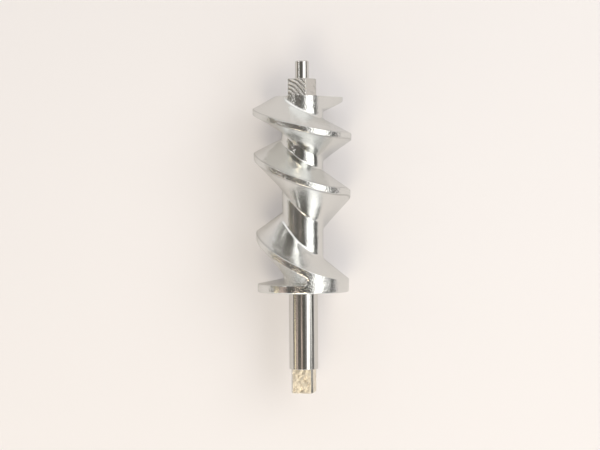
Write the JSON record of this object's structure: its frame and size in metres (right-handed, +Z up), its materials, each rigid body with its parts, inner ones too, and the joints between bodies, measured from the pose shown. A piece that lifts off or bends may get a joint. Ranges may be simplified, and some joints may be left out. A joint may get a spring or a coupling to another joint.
{
  "type": "feed screw",
  "caption": "Left-hand feed screw of a small food grinder: tapered flight growing in pitch, thrust flange, journal and square drive tang, square knife seat and plate pin.",
  "frame": {"origin": "on the screw's axis at the flange's thrust face, where the drive journal begins", "axes": "+Y along the screw's axis towards the plate pin, +Z up with the screw lying on its flight and flange, +X to the right when seen from above with the pin away"},
  "size_m": [0.0457, 0.1533, 0.0458],
  "materials": {
    "polished_steel": "polished stainless casting, turned journal and pin, milled squares"
  },
  "bodies": {
    "root": {"feed_screw": "polished_steel"}
  },
  "joints": []
}
